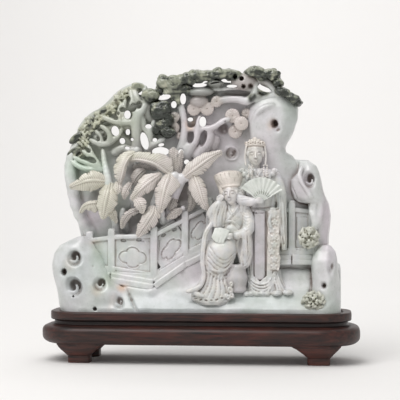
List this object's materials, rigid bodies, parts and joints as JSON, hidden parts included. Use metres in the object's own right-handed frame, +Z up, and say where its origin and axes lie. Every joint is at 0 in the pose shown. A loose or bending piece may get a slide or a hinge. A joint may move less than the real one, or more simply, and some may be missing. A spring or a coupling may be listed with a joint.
{
  "type": "jade figure group",
  "caption": "Carved jadeite garden scene with a seated and a standing lady, pine and banana trees, rocks and a balustrade, resting in the tray of a footed hardwood stand.",
  "frame": {"origin": "on the table plane, under the middle of the wooden stand", "axes": "+X to the right of the carving as its figures are seen, +Y away from the viewer, +Z up"},
  "size_m": [0.316, 0.102, 0.2957],
  "materials": {
    "jade": "polished pale jadeite, white to lavender with apple-green veils and dark green crowns",
    "rosewood": "very dark red-brown hardwood, waxed satin"
  },
  "bodies": {
    "root": {"jade_carving": "jade", "wood_stand": "rosewood"}
  },
  "joints": []
}
